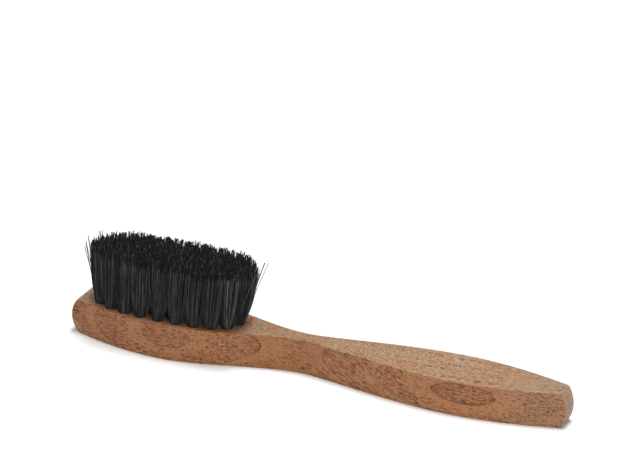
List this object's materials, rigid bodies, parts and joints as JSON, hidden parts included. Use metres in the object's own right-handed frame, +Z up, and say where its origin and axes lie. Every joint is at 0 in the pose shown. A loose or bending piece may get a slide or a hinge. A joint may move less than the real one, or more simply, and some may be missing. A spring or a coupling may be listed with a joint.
{
  "type": "shoe polish applicator brush",
  "caption": "Small shoe brush: a waisted wooden block with an oval head of short black bristle tufts and a flat paddle grip, for putting on polish.",
  "frame": {"origin": "on the surface that the brush lies on, below the middle of the block's length and width", "axes": "+X from the bristle end (toe) to the end of the grip (butt), +Y across, +Z up out of the bristles"},
  "size_m": [0.1846, 0.0264, 0.0346],
  "materials": {
    "wood": "reddish brown open-pored hardwood, sanded and oiled, matt",
    "bristle": "black natural bristle, matt with a faint sheen"
  },
  "bodies": {
    "root": {"wooden_block": "wood", "bristle_tuft_01": "bristle", "bristle_tuft_02": "bristle", "bristle_tuft_03": "bristle", "bristle_tuft_04": "bristle", "bristle_tuft_05": "bristle", "bristle_tuft_06": "bristle", "bristle_tuft_07": "bristle", "bristle_tuft_08": "bristle", "bristle_tuft_09": "bristle", "bristle_tuft_10": "bristle", "bristle_tuft_11": "bristle", "bristle_tuft_12": "bristle", "bristle_tuft_13": "bristle", "bristle_tuft_14": "bristle", "bristle_tuft_15": "bristle", "bristle_tuft_16": "bristle", "bristle_tuft_17": "bristle", "bristle_tuft_18": "bristle", "bristle_tuft_19": "bristle", "bristle_tuft_20": "bristle", "bristle_tuft_21": "bristle", "bristle_tuft_22": "bristle", "bristle_tuft_23": "bristle", "bristle_tuft_24": "bristle", "bristle_tuft_25": "bristle", "bristle_tuft_26": "bristle", "bristle_tuft_27": "bristle", "bristle_tuft_28": "bristle", "bristle_tuft_29": "bristle", "bristle_tuft_30": "bristle", "bristle_tuft_31": "bristle", "bristle_tuft_32": "bristle", "bristle_tuft_33": "bristle", "bristle_tuft_34": "bristle", "bristle_tuft_35": "bristle", "bristle_tuft_36": "bristle", "bristle_tuft_37": "bristle", "bristle_tuft_38": "bristle", "bristle_tuft_39": "bristle"}
  },
  "joints": []
}
